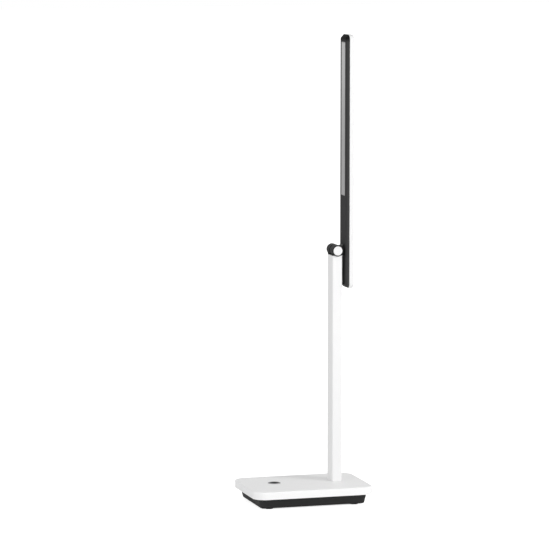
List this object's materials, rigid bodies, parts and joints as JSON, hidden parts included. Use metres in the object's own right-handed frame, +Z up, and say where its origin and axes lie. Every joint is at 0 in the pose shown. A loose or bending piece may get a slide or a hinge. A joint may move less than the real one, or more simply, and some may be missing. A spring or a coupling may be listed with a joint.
{
  "type": "bedside lamp",
  "caption": "Bedside lamp: flat rounded base with a push button, square upright stem and a long slim light arm on a friction hinge.",
  "frame": {"origin": "on the floor, under the middle of the base's rectangle", "axes": "+Z up; +X to the right along the base's long side, towards the stem; +Y to the back; the arm stands straight up at rest"},
  "size_m": [0.194, 0.135, 0.7307],
  "materials": {
    "white_plastic": "satin white moulding",
    "black_plastic": "fine-grained black moulding",
    "foot_rubber": "soft black rubber",
    "ballast_steel": "bare plate",
    "cast_metal": "as cast",
    "white_paint": "satin white coat",
    "black_paint": "satin black coat",
    "screw_steel": "bright steel",
    "circuit_board": "green solder mask",
    "component_black": "moulded black",
    "component_white": "moulded white",
    "can_metal": "drawn can",
    "button_grey": "satin grey, darker in the middle",
    "bush_brass": "plain bearing brass",
    "spine_aluminium": "mill finish",
    "light_board": "white solder mask on aluminium",
    "light_chips": "pale yellow phosphor",
    "diffuser_grey": "frosted, unlit",
    "lead_black": "two-core lead"
  },
  "bodies": {
    "stand": {"base_cover": "white_plastic", "base_plinth": "black_plastic", "foot_front_left": "foot_rubber", "foot_front_right": "foot_rubber", "foot_rear_left": "foot_rubber", "foot_rear_right": "foot_rubber", "ballast_plate": "ballast_steel", "stem_foot": "cast_metal", "stem_tube": "white_paint", "stem_head": "black_paint", "base_screws": "screw_steel", "stem_screws": "screw_steel", "stem_lock_screws": "screw_steel", "board_screws": "screw_steel", "control_board": "circuit_board", "tact_switch": "component_black", "driver_inductor": "component_black", "driver_capacitor": "can_metal", "driver_chip": "component_black", "lead_socket": "component_white", "dc_inlet": "component_black", "dc_inlet_nut": "screw_steel", "hinge_axle": "screw_steel", "hinge_nut": "screw_steel", "friction_washer_front": "component_white", "friction_washer_rear": "screw_steel", "disc_spring": "screw_steel", "front_cap": "white_plastic", "rear_cap": "white_plastic", "stem_lead": "lead_black"},
    "button": {"button_cap": "button_grey", "switch_plunger": "component_black"},
    "arm": {"arm_knuckle": "black_plastic", "hinge_bush": "bush_brass", "arm_tray": "black_plastic", "arm_shell": "white_plastic", "arm_spine": "spine_aluminium", "led_board": "light_board", "leds": "light_chips", "reflector": "component_white", "diffuser": "diffuser_grey", "knuckle_screws": "screw_steel", "shell_screws": "screw_steel", "arm_lead": "lead_black"}
  },
  "joints": [
    {"name": "arm_hinge", "type": "hinge", "parent": "stand", "child": "arm", "pos_m": [0.054, 0.0087, 0.3944], "axis": [0, -1, 0], "range_deg": [0, 175]},
    {"name": "button_press", "type": "slide", "parent": "stand", "child": "button", "axis": [0, 0, -1], "range_m": [0, 0.001], "stiffness_N_per_m": 1500, "springref_m": -0.0005}
  ]
}
